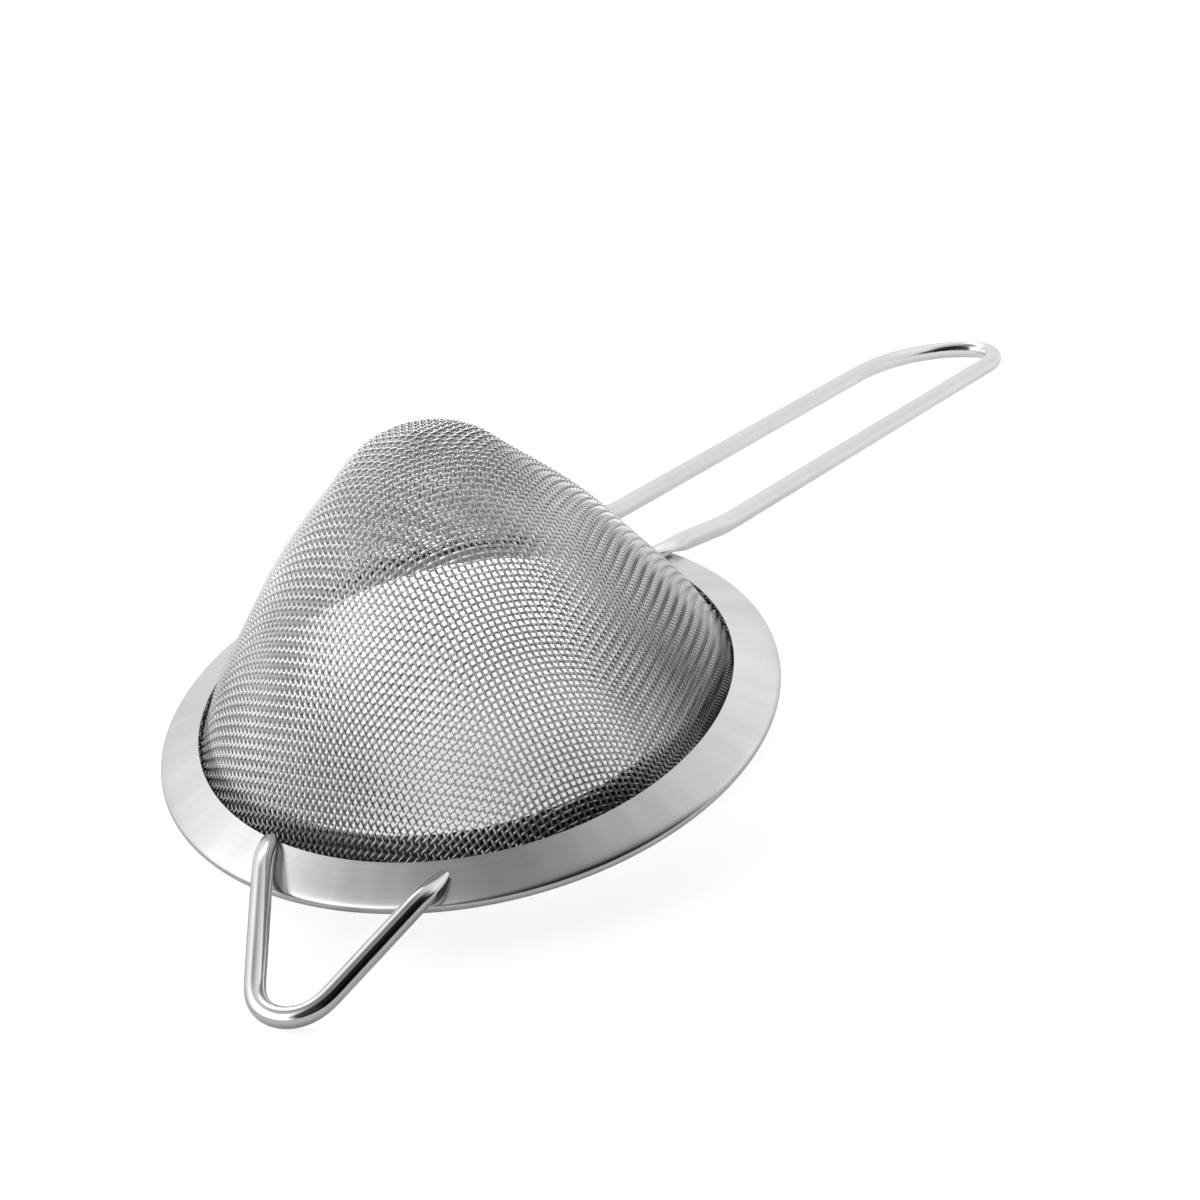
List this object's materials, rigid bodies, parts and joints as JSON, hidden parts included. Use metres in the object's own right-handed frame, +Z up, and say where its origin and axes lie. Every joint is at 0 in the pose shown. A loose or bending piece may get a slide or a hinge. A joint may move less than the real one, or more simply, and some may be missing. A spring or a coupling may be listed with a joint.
{
  "type": "cocktail strainer",
  "caption": "Conical fine wire-cloth strainer with a flat sheet collar, a looped wire handle and a pointed wire rest opposite it.",
  "frame": {"origin": "centre of the box's bottom face, on the surface that the strainer lies on", "axes": "+Z up, cone tip up; +X along the handle towards its end. The rim is tipped 11.8 degrees about Y, with the handle's end and the rest's point level on the surface."},
  "size_m": [0.2668, 0.09, 0.0634],
  "materials": {
    "spun_steel": "spun, satin",
    "pressed_steel": "as pressed",
    "steel_cloth": "drawn wire, woven",
    "bright_wire": "bright drawn wire",
    "polished_wire": "polished drawn wire"
  },
  "bodies": {
    "root": {"rim_collar": "spun_steel", "clamp_ring": "pressed_steel", "mesh_cone": "steel_cloth", "handle_loop": "bright_wire", "rest_hook": "polished_wire"}
  },
  "joints": []
}
